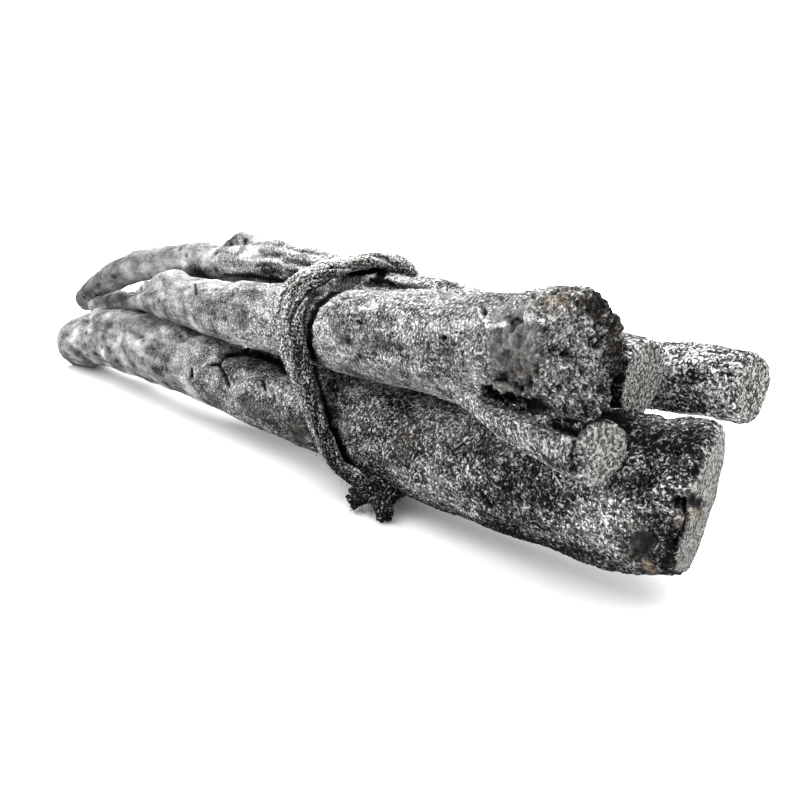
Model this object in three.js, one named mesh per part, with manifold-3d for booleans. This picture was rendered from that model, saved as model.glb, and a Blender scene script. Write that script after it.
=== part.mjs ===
// A tied bundle of weathered, charcoal-grey branches lying on a table.
// Millimetres, +Z up. The cut ends nearest the viewer point along +X, and the viewer stands on the -Y side.
import * as THREE from 'three';
import { mergeVertices } from 'three/addons/utils/BufferGeometryUtils.js';
import { ImprovedNoise } from 'three/addons/math/ImprovedNoise.js';
import Module from 'manifold-3d';

// Driving dimensions
const CORD_DIAMETER = 4.4;
const CORD_SIDES = 8;
const CLEARANCE = 0.35;
const FINEST_DETAIL = 0.08;
const WELD_DISTANCE = 1e-4;
const FLOOR_BLOCK = 800;
const FLOOR_BLOCK_DEPTH = 40;

// Bark colours
const BARK_GREY = '#5b5d60';
const SMOOTH_GREY = '#6c6e70';
const CORD_GREY = '#4a4744';

// Each branch follows a route of stations: x, y, z and radius.
// A mark is a knot, shoulder, hollow or slot: its x, its side in degrees (0 faces the viewer, 90 is the top),
// how far it rises, and its half length and half width.
const LOG = {
  name: 'log',
  colour: BARK_GREY,
  sides: 22,
  rings: 46,
  crowding: 1.15,
  route: [
    [-174, -4, 9.6, 10.8],
    [-150, -3.2, 13.4, 11.4],
    [-120, -2.8, 15.6, 11.3],
    [-90, -2.5, 17.0, 11.1],
    [-44, -2, 17.1, 11.2],
    [-8, -1.5, 16.7, 11.4],
    [23, -1, 16.5, 11.6],
    [70, 0, 15.7, 12.1],
    [105, 0.5, 16.3, 12.8],
    [131, 2, 17.7, 13.1],
    [152, 4.2, 20.4, 13.3],
  ],
  lumps: 0.75,
  lumpLength: 15,
  furrows: 0.35,
  nearLean: [0.35, 0.3],
  farLean: [0, 0.15],
  roughEnd: 0.9,
  marks: [
    { x: 8, side: 60, rise: -2.0, long: 22, wide: 7 },
    { x: -72, side: 40, rise: 1.0, long: 14, wide: 6 },
    { x: -24, side: 35, rise: 0.9, long: 6, wide: 8 },
    { x: 88, side: -75, rise: 0.9, long: 12, wide: 8 },
    { x: 141, side: -32, rise: -1.6, long: 3.4, wide: 3.0 },
    { x: 152, side: 5, rise: -1.9, long: 4.5, wide: 3.0 },
    { x: 128, side: 70, rise: 1.1, long: 12, wide: 8 },
    { x: 60, side: 200, rise: 1.2, long: 18, wide: 9 },
    { x: -110, side: 190, rise: 1.3, long: 16, wide: 8 },
  ],
};

const FRONT_BRANCH = {
  name: 'front_branch',
  colour: BARK_GREY,
  sides: 20,
  rings: 44,
  crowding: 1.2,
  route: [
    [-168, 2.5, 26.4, 3.2],
    [-156, 2.5, 27.6, 3.6],
    [-134, 2, 29.9, 4.3],
    [-114, 1.5, 32.8, 5.0],
    [-96, 1, 35.6, 6.1],
    [-80, 0, 37.4, 7.4],
    [-66, -1, 38.4, 8.6],
    [-42, -2, 37.6, 8.4],
    [-1, -4, 38.2, 9.2],
    [46, -5, 38.9, 9.4],
    [77, -5.5, 40.6, 10.4],
    [111, -6, 42.6, 10.1],
    [122, -6, 42.9, 11.0],
    [133, -6, 43.0, 11.9],
  ],
  lumps: 0.55,
  lumpLength: 12,
  furrows: 0.4,
  nearLean: [0.08, 0.05],
  farLean: [0, 0],
  roughEnd: 1.3,
  marks: [
    { x: -67, side: 85, rise: 2.0, long: 4, wide: 5 },
    { x: 127, side: 75, rise: 1.5, long: 5, wide: 7 },
    { x: 114, side: -33, rise: -2.2, long: 6, wide: 2.2 },
    { x: 104, side: -18, rise: -1.2, long: 2.4, wide: 2.4 },
    { x: 103, side: -75, rise: 2.2, long: 12, wide: 7 },
    { x: 112, side: 18, rise: -0.8, long: 7, wide: 5 },
    { x: 94, side: 12, rise: -0.9, long: 2.4, wide: 2.2 },
    { x: 20, side: 100, rise: 1.0, long: 14, wide: 6 },
    { x: -20, side: 20, rise: 0.7, long: 9, wide: 6 },
    { x: 60, side: 190, rise: 1.0, long: 16, wide: 8 },
  ],
};

const SIDE_SHOOT = {
  name: 'side_shoot',
  colour: SMOOTH_GREY,
  sides: 12,
  rings: 12,
  crowding: 1,
  route: [
    [103, -10.4, 34.2, 2.0],
    [112, -11.6, 32.5, 2.5],
    [123, -12.6, 30.9, 3.3],
    [134, -13.1, 30.2, 4.5],
    [144.4, -14, 30.2, 5.4],
  ],
  lumps: 0.2,
  lumpLength: 8,
  furrows: 0.2,
  nearLean: [-0.18, 0],
  farLean: [0, 0],
  roughEnd: 0,
  marks: [],
};

const ARCHED_BRANCH = {
  name: 'arched_branch',
  colour: SMOOTH_GREY,
  sides: 14,
  rings: 42,
  crowding: 1,
  route: [
    [-184, 2.5, 27.6, 4.9],
    [-166, 4, 36.3, 5.2],
    [-125, 6, 45.3, 6.1],
    [-99, 7, 48.5, 6.0],
    [-77, 8, 50.2, 6.0],
    [-35, 8, 51.4, 5.7],
    [-15, 8, 52.4, 5.7],
    [2, 8, 52.4, 5.9],
    [25, 8, 50.7, 5.9],
    [49, 8.5, 47.9, 5.7],
    [72, 10, 46.3, 6.1],
    [84, 11, 44.4, 6.4],
    [110, 12, 40.0, 7.2],
    [130.8, 12.8, 36.6, 8.3],
  ],
  lumps: 0.35,
  lumpLength: 10,
  furrows: 0.45,
  nearLean: [0.14, 0],
  farLean: [0, 0.2],
  roughEnd: 0,
  marks: [
    { x: -29.5, side: 88, rise: 5.6, long: 7, wide: 6 },
    { x: -62, side: 80, rise: 1.1, long: 8, wide: 5 },
    { x: -6, side: 95, rise: 0.9, long: 7, wide: 5 },
    { x: 60, side: 200, rise: 1.4, long: 7, wide: 5 },
    { x: -120, side: 180, rise: 1.2, long: 6, wide: 4 },
  ],
};

const REAR_BRANCH = {
  name: 'rear_branch',
  colour: BARK_GREY,
  sides: 12,
  rings: 28,
  crowding: 1,
  route: [
    [-138, 31, 4.9, 5.2],
    [-104, 30, 6.0, 5.9],
    [-60, 27, 11.0, 6.5],
    [-10, 21, 19.5, 6.8],
    [50, 18.5, 27.5, 7.0],
    [90, 22.5, 32.5, 6.9],
    [124, 28, 35.3, 6.9],
    [143, 30, 35.4, 6.7],
  ],
  lumps: 0.45,
  lumpLength: 11,
  furrows: 0.4,
  nearLean: [0, 0],
  farLean: [0, 0],
  roughEnd: 0.4,
  marks: [
    { x: 10, side: 170, rise: 1.8, long: 6, wide: 5 },
    { x: -80, side: 120, rise: 1.2, long: 7, wide: 5 },
    { x: 100, side: 190, rise: 0.9, long: 9, wide: 5 },
  ],
};

// The doubled cord goes once round the bundle: up the viewer's side, over the top, down behind and back underneath.
// Each station is x, y, z and how far each of the two strands lies to its side.
const TIE_ROUTE = [
  [72, -11.2, 5.2, 1.6],
  [62.8, -13.6, 8.4, 2.0],
  [59.2, -15.2, 14.0, 2.1],
  [55.6, -16.2, 21.0, 2.2],
  [51.8, -16.8, 28.5, 2.4],
  [49.0, -17.3, 35, 2.7],
  [46.2, -16.8, 41.2, 2.9],
  [43.6, -14.2, 46.8, 2.9],
  [42.6, -9.8, 50.9, 2.8],
  [42.8, -4, 53.6, 2.6],
  [45.0, 2, 55.4, 2.4],
  [48.2, 8.6, 56.0, 2.3],
  [50.4, 13.8, 54.2, 2.3],
  [51.6, 16.8, 50.0, 2.3],
  [52.6, 19.8, 43, 2.3],
  [53.6, 23.4, 35, 2.3],
  [54.6, 27.0, 29, 2.3],
  [56.4, 27.4, 24.2, 2.3],
  [59.2, 23.6, 18.4, 2.3],
  [62.2, 16.2, 10.4, 2.3],
  [65.0, 9.8, 4.7, 2.3],
  [67.6, 1.0, 2.2, 2.2],
  [70.4, -5, 2.3, 1.8],
  [73.0, -9.2, 3.8, 1.6],
];
const TIE_STEPS = 28;

// The two loose ends leave the knot at the foot of the viewer's side
const TAIL_ROUTES = [
  [
    [74.5, -10.6, 5.0],
    [73.2, -13.0, 3.8],
    [72.0, -16.0, 2.2],
  ],
  [
    [74, -10.8, 5.2],
    [79, -12.2, 4.2],
    [83.6, -14.0, 2.0],
  ],
];
const TAIL_STEPS = 5;

// The knot is an overhand loop pulled tight
const KNOT_CENTRE = [74, -11.4, 5.4];
const KNOT_SIZE = [2.1, 1.1, 1.35];
const KNOT_STEPS = 9;
const KNOT_OVERLAP = 0.25;

const library = await Module();
library.setup();
const grain = new ImprovedNoise();

function toSolid(geometry) {
  geometry.deleteAttribute('normal');
  geometry.deleteAttribute('uv');
  const merged = mergeVertices(geometry, WELD_DISTANCE);
  const corners = merged.index.array;
  const kept = [];
  for (let i = 0; i < corners.length; i += 3) {
    const [a, b, c] = [corners[i], corners[i + 1], corners[i + 2]];
    if (a !== b && b !== c && c !== a) kept.push(a, b, c);
  }
  const vertProperties = new Float32Array(merged.attributes.position.array);
  let triVerts = new Uint32Array(kept);
  let solid = new library.Manifold(new library.Mesh({ numProp: 3, vertProperties, triVerts }));
  if (solid.volume() < 0) {
    triVerts = triVerts.reverse();
    solid = new library.Manifold(new library.Mesh({ numProp: 3, vertProperties, triVerts }));
  }
  return solid;
}

// Cutting can leave loose crumbs, so only the largest piece stays
function largest(solid) {
  return solid.decompose().reduce((best, piece) => (piece.volume() > best.volume() ? piece : best));
}

function toGeometry(solid) {
  const mesh = solid.getMesh();
  const geometry = new THREE.BufferGeometry();
  geometry.setAttribute('position', new THREE.BufferAttribute(mesh.vertProperties, mesh.numProp));
  geometry.setIndex(new THREE.BufferAttribute(mesh.triVerts, 1));
  geometry.computeVertexNormals();
  return geometry;
}

// A closed turned blank of unit radius and length: a rounded rim at each end and crowded rings between them
const RIM = [0, 0.55, 0.93];
const RIM_STEP = 0.004;

function blank(shape) {
  const profile = RIM.map((radius) => new THREE.Vector2(radius, 0));
  for (let ring = 0; ring <= shape.rings; ring++) {
    const spaced = 1 - (1 - ring / shape.rings) ** shape.crowding;
    profile.push(new THREE.Vector2(1, THREE.MathUtils.lerp(RIM_STEP, 1 - RIM_STEP, spaced)));
  }
  for (const radius of [...RIM].reverse()) profile.push(new THREE.Vector2(radius, 1));
  return new THREE.LatheGeometry(profile, shape.sides);
}

function wrapAngle(angle) {
  return Math.atan2(Math.sin(angle), Math.cos(angle));
}

// How far the bark stands out at one place: broad lumps, furrows along the grain, and the marks
const LUMP_START = [7.3, 0];
const FURROW_START = [11.7, 3.1];
const FURROW_LENGTH = 38;
const FURROW_COUNT = 2.6;

// Noise runs from about -0.5 to 0.5, so twice it spans a rise of 1
function swell(x, y, z) {
  return 2 * grain.noise(x, y, z);
}

function relief(shape, centre, angle, radius) {
  const across = (radius * Math.cos(angle)) / shape.lumpLength + LUMP_START[0];
  const height = (radius * Math.sin(angle) + centre.y) / shape.lumpLength + LUMP_START[1];
  let rise = shape.lumps * swell(centre.x / shape.lumpLength, across, height);
  const turn = [Math.cos(angle) * FURROW_COUNT + FURROW_START[0], Math.sin(angle) * FURROW_COUNT + FURROW_START[1]];
  rise += shape.furrows * swell(turn[0], turn[1], centre.x / FURROW_LENGTH);
  for (const mark of shape.marks) {
    const along = (centre.x - mark.x) / mark.long;
    const around = (wrapAngle(angle - THREE.MathUtils.degToRad(mark.side)) * radius) / mark.wide;
    rise += mark.rise * Math.exp(-along * along - around * around);
  }
  return rise;
}

// An end face leans towards the viewer and upwards, and a broken one is rough
const LEAN_REACH = 0.1;
const ROUGH_STEP = 3.1;
const ROUGH_START = 0.5;

function endShift(shape, along, across, height) {
  const near = Math.max(0, 1 - (1 - along) / LEAN_REACH);
  const far = Math.max(0, 1 - along / LEAN_REACH);
  const nearShift = near * (across * shape.nearLean[0] + height * shape.nearLean[1]);
  const farShift = far * (across * shape.farLean[0] + height * shape.farLean[1]);
  const broken = along === 1 ? shape.roughEnd : 0;
  const rough = broken * grain.noise(across / ROUGH_STEP, height / ROUGH_STEP, ROUGH_START);
  return nearShift + farShift + rough;
}

// Bends a blank along the branch's route; extra makes it stand out all over
function branchSolid(shape, extra = 0) {
  const spine = new THREE.CatmullRomCurve3(shape.route.map(([x, y, z]) => new THREE.Vector3(x, y, z)));
  const girth = new THREE.CatmullRomCurve3(shape.route.map((stop) => new THREE.Vector3(stop[3], 0, 0)));
  girth.curveType = 'catmullrom';
  const geometry = blank(shape);
  const position = geometry.attributes.position;
  for (let i = 0; i < position.count; i++) {
    const along = position.getY(i);
    const fraction = Math.hypot(position.getX(i), position.getZ(i));
    const angle = Math.atan2(position.getZ(i), position.getX(i));
    const t = spine.getUtoTmapping(along);
    const centre = spine.getPoint(t);
    const forward = spine.getTangent(t);
    const front = new THREE.Vector3(0, -1, 0).addScaledVector(forward, forward.y).normalize();
    const up = new THREE.Vector3().crossVectors(front, forward);
    const radius = girth.getPoint(t).x;
    const reach = fraction * (radius + relief(shape, centre, angle, radius) + extra);
    const across = reach * Math.cos(angle);
    const height = reach * Math.sin(angle);
    const outward = extra * (along === 1 ? 1 : along === 0 ? -1 : 0);
    centre.addScaledVector(front, across).addScaledVector(up, height);
    centre.addScaledVector(forward, endShift(shape, along, across, height) + outward);
    position.setXYZ(i, centre.x, centre.y, centre.z);
  }
  return toSolid(geometry);
}

// A length of cord along a curve
function cordAlong(curve, steps) {
  const section = new THREE.Shape();
  for (let side = 0; side < CORD_SIDES; side++) {
    const angle = (2 * Math.PI * side) / CORD_SIDES;
    const [x, y] = [(CORD_DIAMETER / 2) * Math.cos(angle), (CORD_DIAMETER / 2) * Math.sin(angle)];
    if (side === 0) section.moveTo(x, y);
    else section.lineTo(x, y);
  }
  section.closePath();
  const options = { steps, extrudePath: curve, bevelEnabled: false, curveSegments: 1 };
  return toSolid(new THREE.ExtrudeGeometry(section, options));
}

function curveThrough(points, side = 0) {
  const stops = points.map(([x, y, z, spread = 0]) => new THREE.Vector3(x + side * spread, y, z));
  return new THREE.CatmullRomCurve3(stops);
}

class KnotCurve extends THREE.Curve {
  constructor(from, to) {
    super();
    this.from = from;
    this.to = to;
  }

  getPoint(t, target = new THREE.Vector3()) {
    const turn = THREE.MathUtils.lerp(this.from, this.to, t);
    const loop = [
      Math.sin(turn) + 2 * Math.sin(2 * turn),
      Math.cos(turn) - 2 * Math.cos(2 * turn),
      -Math.sin(3 * turn),
    ];
    const [x, y, z] = loop.map((value, axis) => KNOT_CENTRE[axis] + KNOT_SIZE[axis] * value);
    return target.set(x, y, z);
  }
}

function cordSolid() {
  const pieces = [
    cordAlong(curveThrough(TIE_ROUTE, -1), TIE_STEPS),
    cordAlong(curveThrough(TIE_ROUTE, 1), TIE_STEPS),
    cordAlong(new KnotCurve(0, Math.PI + KNOT_OVERLAP), KNOT_STEPS),
    cordAlong(new KnotCurve(Math.PI, 2 * Math.PI + KNOT_OVERLAP), KNOT_STEPS),
    ...TAIL_ROUTES.map((route) => cordAlong(curveThrough(route), TAIL_STEPS)),
  ];
  return pieces.reduce((joined, piece) => joined.add(piece));
}

// Whatever would sink below the table is worn flat on it
function floorBlock() {
  const block = new THREE.BoxGeometry(FLOOR_BLOCK, FLOOR_BLOCK, FLOOR_BLOCK_DEPTH);
  block.translate(0, 0, -FLOOR_BLOCK_DEPTH / 2);
  return toSolid(block);
}

function standIn(solid, name, colour, roughness) {
  const material = new THREE.MeshStandardMaterial({ color: colour, roughness, metalness: 0 });
  const mesh = new THREE.Mesh(toGeometry(largest(solid.simplify(FINEST_DETAIL))), material);
  mesh.name = name;
  return mesh;
}

const BARK_ROUGHNESS = 0.9;
const CORD_ROUGHNESS = 0.95;
const floor = floorBlock();
const bundle = new THREE.Group();

// Each branch is trimmed clear of those placed before it
const branches = [LOG, FRONT_BRANCH, SIDE_SHOOT, ARCHED_BRANCH, REAR_BRANCH];
branches.forEach((shape, order) => {
  let solid = branchSolid(shape).subtract(floor);
  for (const neighbour of branches.slice(0, order)) {
    solid = solid.subtract(branchSolid(neighbour, CLEARANCE));
  }
  bundle.add(standIn(solid, shape.name, shape.colour, BARK_ROUGHNESS));
});

let cord = cordSolid().subtract(floor);
for (const shape of branches) cord = cord.subtract(branchSolid(shape, CLEARANCE));
bundle.add(standIn(cord, 'binding_cord', CORD_GREY, CORD_ROUGHNESS));

// The origin is the middle of the footprint, on the table
const box = new THREE.Box3().setFromObject(bundle);
const middle = box.getCenter(new THREE.Vector3());
bundle.position.set(-middle.x, -middle.y, -box.min.z);

export default bundle;
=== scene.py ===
import itertools
import math

import bpy
import numpy as np
from bpy.props import FloatProperty, FloatVectorProperty, IntProperty, PointerProperty
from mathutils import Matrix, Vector
from mathutils.bvhtree import BVHTree
from mathutils.kdtree import KDTree


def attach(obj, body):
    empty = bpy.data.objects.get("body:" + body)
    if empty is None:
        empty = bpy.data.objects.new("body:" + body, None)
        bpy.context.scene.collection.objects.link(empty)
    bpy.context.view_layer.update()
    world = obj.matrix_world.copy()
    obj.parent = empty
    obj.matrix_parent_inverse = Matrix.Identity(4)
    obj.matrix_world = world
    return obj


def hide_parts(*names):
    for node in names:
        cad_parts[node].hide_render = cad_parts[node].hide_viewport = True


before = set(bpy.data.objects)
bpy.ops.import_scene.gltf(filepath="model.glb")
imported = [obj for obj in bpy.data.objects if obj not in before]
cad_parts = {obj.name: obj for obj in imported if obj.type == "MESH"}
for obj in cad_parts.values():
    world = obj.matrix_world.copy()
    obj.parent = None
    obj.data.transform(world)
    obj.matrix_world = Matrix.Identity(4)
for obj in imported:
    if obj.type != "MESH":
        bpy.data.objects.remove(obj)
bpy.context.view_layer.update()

bl_info = {
    "name": "Tied Bundle of Branches",
    "version": (1, 0, 0),
    "blender": (4, 5, 0),
    "location": "3D View > Sidebar > Branches",
    "description": "Dresses a tied bundle of weathered grey branches with bark, cut ends and a fibrous cord",
    "category": "Object",
}

MM = 0.001
BODY = "root"

# The photograph's camera, and its picture of 800 by 800 pixels
CAMERA_PLACE = Vector((0.2537, -0.1307, 0.0684))
CAMERA_HEADING = math.radians(54.4)
CAMERA_PITCH = math.radians(11.9)
CAMERA_LENS = 40.5
CAMERA_SENSOR = 36.0
PICTURE_SIDE = 800
PICTURE_FOCUS = PICTURE_SIDE * CAMERA_LENS / CAMERA_SENSOR
LOOK_AHEAD = Vector((
    -math.sin(CAMERA_HEADING) * math.cos(CAMERA_PITCH),
    math.cos(CAMERA_HEADING) * math.cos(CAMERA_PITCH),
    -math.sin(CAMERA_PITCH),
))
LOOK_RIGHT = Vector((math.cos(CAMERA_HEADING), math.sin(CAMERA_HEADING), 0.0))
LOOK_UP = LOOK_RIGHT.cross(LOOK_AHEAD)


class BarkSettings(bpy.types.PropertyGroup):
    skin: FloatProperty(
        name="Skin", description="Spacing of the bark's points", default=0.5 * MM, unit="LENGTH")
    crust: FloatProperty(
        name="Crust", description="Height of the crust on the thickest branch", default=0.42 * MM, unit="LENGTH")
    furrow: FloatProperty(
        name="Furrow", description="Depth of the furrows along the grain", default=0.3 * MM, unit="LENGTH")
    pits: IntProperty(name="Pits", description="Small pits on each branch", default=90, min=0)
    charcoal: FloatVectorProperty(
        name="Charcoal", description="Darkest bark", subtype="COLOR", default=(0.0022, 0.0025, 0.003))
    bloom: FloatVectorProperty(
        name="Bloom", description="Pale dusty bloom on the bark", subtype="COLOR", default=(0.62, 0.62, 0.62))
    sawn: FloatVectorProperty(
        name="Cut wood", description="Palest grains of the cut ends", subtype="COLOR", default=(0.63, 0.61, 0.57))
    wood: FloatVectorProperty(
        name="Bare wood", description="Bare wood in chips", subtype="COLOR", default=(0.2, 0.16, 0.115))


class CordSettings(bpy.types.PropertyGroup):
    thickness: FloatProperty(
        name="Thickness", description="Diameter of one strand", default=4.4 * MM, unit="LENGTH")
    yarn: FloatProperty(
        name="Yarn", description="Diameter of one yarn", default=1.2 * MM, unit="LENGTH")
    yarns: IntProperty(name="Yarns", description="Yarns in one strand", default=13, min=3)
    lay: FloatProperty(
        name="Lay", description="Length in which a strand turns once", default=26 * MM, unit="LENGTH")
    hairs: IntProperty(name="Hairs", description="Loose hairs on the cord", default=260, min=0)
    fibre: FloatVectorProperty(
        name="Fibre", description="Colour of the plant fibre", subtype="COLOR", default=(0.004, 0.004, 0.0045))
    rust: FloatVectorProperty(
        name="Rust", description="Browner fibre", subtype="COLOR", default=(0.5, 0.45, 0.4))
    dust: FloatVectorProperty(
        name="Dust", description="Pale dust on the fibre", subtype="COLOR", default=(0.6, 0.6, 0.595))


class StageSettings(bpy.types.PropertyGroup):
    floor: FloatVectorProperty(
        name="Floor", description="Colour of the floor", subtype="COLOR", default=(0.9, 0.9, 0.9))
    sky: FloatProperty(name="Sky", description="Strength of the sky straight overhead", default=3.4)
    horizon: FloatProperty(name="Horizon", description="Strength of the sky all round", default=1.1)
    key: FloatProperty(name="Key", description="Power of the light overhead, in watts", default=12.5)


# Noise on arrays of points
GRADIENT_COUNT = 64
HASH_FACTORS = (73856093, 19349663, 83492791)
HASH_MIX = 1274126177
NOISE_GAIN = 1.6
CREASE_GAIN = 2.4
gradients = np.random.default_rng(7).normal(size=(GRADIENT_COUNT, 3))
gradients /= np.linalg.norm(gradients, axis=1)[:, None]


def noise(points, seed):
    """Smooth noise from about -1 to 1 at each point."""
    cell = np.floor(points).astype(np.int64)
    local = points - cell
    fade = local ** 3 * (local * (local * 6 - 15) + 10)
    total = np.zeros(len(points))
    for corner in itertools.product((0, 1), repeat=3):
        lattice = cell + corner
        mixed = (lattice * HASH_FACTORS).sum(axis=1) + seed * HASH_MIX
        mixed = (mixed ^ (mixed >> 13)) * HASH_MIX
        gradient = gradients[(mixed ^ (mixed >> 16)) % GRADIENT_COUNT]
        weight = np.where(np.array(corner) == 1, fade, 1 - fade).prod(axis=1)
        total += weight * (gradient * (local - corner)).sum(axis=1)
    return NOISE_GAIN * total


def layered_noise(points, seed):
    """Noise, and half as much of it at half the size."""
    return noise(points, seed) + noise(points * 2, seed + 1) / 2


def creases(points, seed):
    """Winding ridges: 1 along each crest, falling to 0."""
    return 1 - np.clip(np.abs(noise(points, seed)) * CREASE_GAIN, 0, 1)


def smooth_step(value, low, high):
    share = np.clip((value - low) / (high - low), 0, 1)
    return share * share * (3 - 2 * share)


def distance_to_line(points, stops):
    """How far each point lies from the line through the stops."""
    stops = np.array(stops if len(stops) > 1 else list(stops) * 2, float)
    best = np.full(len(points), np.inf)
    for start, end in zip(stops, stops[1:]):
        run = end - start
        share = np.clip((points - start) @ run / max(run @ run, 1e-9), 0, 1)
        best = np.minimum(best, np.linalg.norm(points - start - share[:, None] * run, axis=1))
    return best


def run_along(path):
    """How far along the path each of its points lies."""
    return np.concatenate([[0], np.cumsum(np.linalg.norm(np.diff(path, axis=0), axis=1))])


def deselect_all():
    if bpy.context.object and bpy.context.object.mode != "OBJECT":
        bpy.ops.object.mode_set(mode="OBJECT")
    bpy.ops.object.select_all(action="DESELECT")


def make_active(piece):
    deselect_all()
    piece.select_set(True)
    bpy.context.view_layer.objects.active = piece


def add_modifier(piece, kind, **settings):
    modifier = piece.modifiers.new(kind.title(), kind)
    for name, value in settings.items():
        setattr(modifier, name, value)
    return modifier


def apply_modifiers(piece):
    make_active(piece)
    for modifier in list(piece.modifiers):
        bpy.ops.object.modifier_apply(modifier=modifier.name)


def new_piece(name, data):
    piece = bpy.data.objects.new(name, data)
    bpy.context.scene.collection.objects.link(piece)
    return piece


# The solids' loose triangles are joined where their corners lie this close
MERGE_REACH = 0.01 * MM
# Smoothing takes the facets off, and spares the rims of the cut ends, this many millimetres deep
RIM_REACH = 3.2
RIM_SHARE = 0.12


def fine_copy(node, smoothing, coarser):
    """A copy of a CAD node's form as a fine, even skin."""
    piece = new_piece(node + "_bark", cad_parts[node].data.copy())
    piece.data.materials.clear()
    make_active(piece)
    bpy.ops.object.mode_set(mode="EDIT")
    bpy.ops.mesh.select_all(action="SELECT")
    bpy.ops.mesh.remove_doubles(threshold=MERGE_REACH)
    bpy.ops.object.mode_set(mode="OBJECT")
    add_modifier(piece, "REMESH", mode="VOXEL", voxel_size=bpy.context.scene.bundle_bark.skin * coarser)
    apply_modifiers(piece)
    points = vertex_array(piece.data, "co") / MM
    inset = np.minimum(points[:, 0] - points[:, 0].min(), points[:, 0].max() - points[:, 0])
    weights = np.where(inset < RIM_REACH, RIM_SHARE, 1.0)
    body = piece.vertex_groups.new(name="body")
    for weight in (RIM_SHARE, 1.0):
        body.add(np.flatnonzero(weights == weight).tolist(), weight, "REPLACE")
    add_modifier(piece, "SMOOTH", factor=0.5, iterations=smoothing, vertex_group="body")
    apply_modifiers(piece)
    piece.vertex_groups.clear()
    return piece


def vertex_array(mesh, field):
    values = np.zeros(len(mesh.vertices) * 3, np.float32)
    mesh.vertices.foreach_get(field, values)
    return values.reshape(-1, 3).astype(float)


def store_marks(mesh, masks, grain):
    """Keeps the masks and the grain, which is in millimetres, as attributes that the materials read."""
    for name, values in masks.items():
        layer = mesh.attributes.new(name, "FLOAT", "POINT")
        layer.data.foreach_set("value", np.clip(values, -1, 1).astype(np.float32))
    layer = mesh.attributes.new("grain", "FLOAT_VECTOR", "POINT")
    layer.data.foreach_set("vector", (grain * MM).astype(np.float32).ravel())


# What the bark's materials read at each point; the third mask darkens the bark for soot in cracks and pits, and
# for painted shade in gaps, in hollows and beside the cord
MASKS = ("bloom", "veil", "soot", "tan", "face")


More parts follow.
